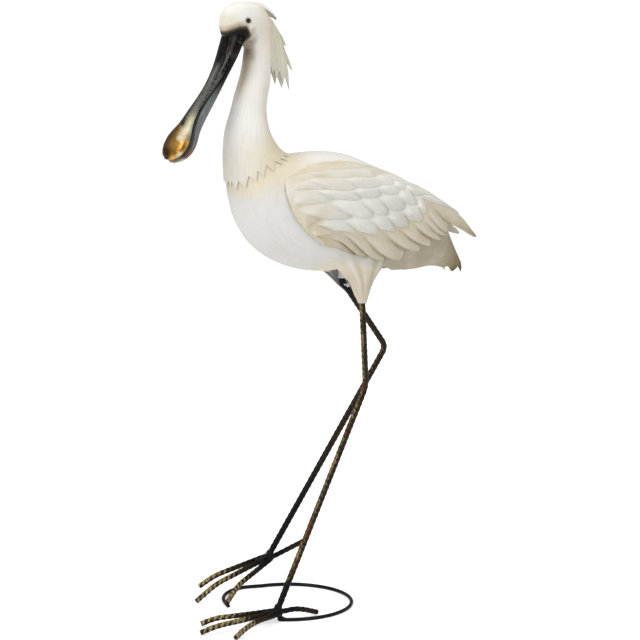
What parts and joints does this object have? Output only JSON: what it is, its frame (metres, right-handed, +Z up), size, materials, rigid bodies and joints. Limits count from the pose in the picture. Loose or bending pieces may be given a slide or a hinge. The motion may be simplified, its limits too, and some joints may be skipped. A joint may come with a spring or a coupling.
{
  "type": "garden bird statue",
  "caption": "Standing spoonbill garden statue of painted sheet metal, on bent bar legs with splayed toes and an open wire ring as its foot.",
  "frame": {"origin": "middle of the footprint, on the ground", "axes": "+Z up; the bird looks along -Y and its left side is +X"},
  "size_m": [0.2468, 0.5396, 0.8951],
  "materials": {
    "white_paint": "satin off-white paint over sheet, tan washes at collar and belly",
    "wing_paint": "satin greyish white paint, beige and brown towards the feather tips",
    "bill_dark_paint": "semi-gloss charcoal paint, rubbed gold on the spoon",
    "bill_grey_paint": "semi-gloss slate grey paint",
    "eye_black": "polished black bead",
    "bar_bronze": "black paint with rubbed bronze on the ribs",
    "wire_black": "satin black"
  },
  "bodies": {
    "root": {"body_left": "white_paint", "body_right": "white_paint", "neck_and_head": "white_paint", "crest_top": "white_paint", "crest_middle": "white_paint", "crest_left": "white_paint", "crest_right": "white_paint", "leg_socket_left": "white_paint", "leg_socket_right": "white_paint", "clamp_screw_left": "white_paint", "clamp_screw_right": "white_paint", "wing_left": "wing_paint", "wing_right": "wing_paint", "bill_upper": "bill_dark_paint", "bill_lower": "bill_grey_paint", "eye_left": "eye_black", "eye_right": "eye_black", "leg_left": "bar_bronze", "leg_right": "bar_bronze", "stand_ring": "wire_black", "toe_inner_left": "bar_bronze", "toe_middle_left": "bar_bronze", "toe_outer_left": "bar_bronze", "toe_hind_left": "bar_bronze", "toe_outer_right": "bar_bronze", "toe_middle_right": "bar_bronze", "toe_inner_right": "bar_bronze", "toe_hind_right": "bar_bronze"}
  },
  "joints": []
}
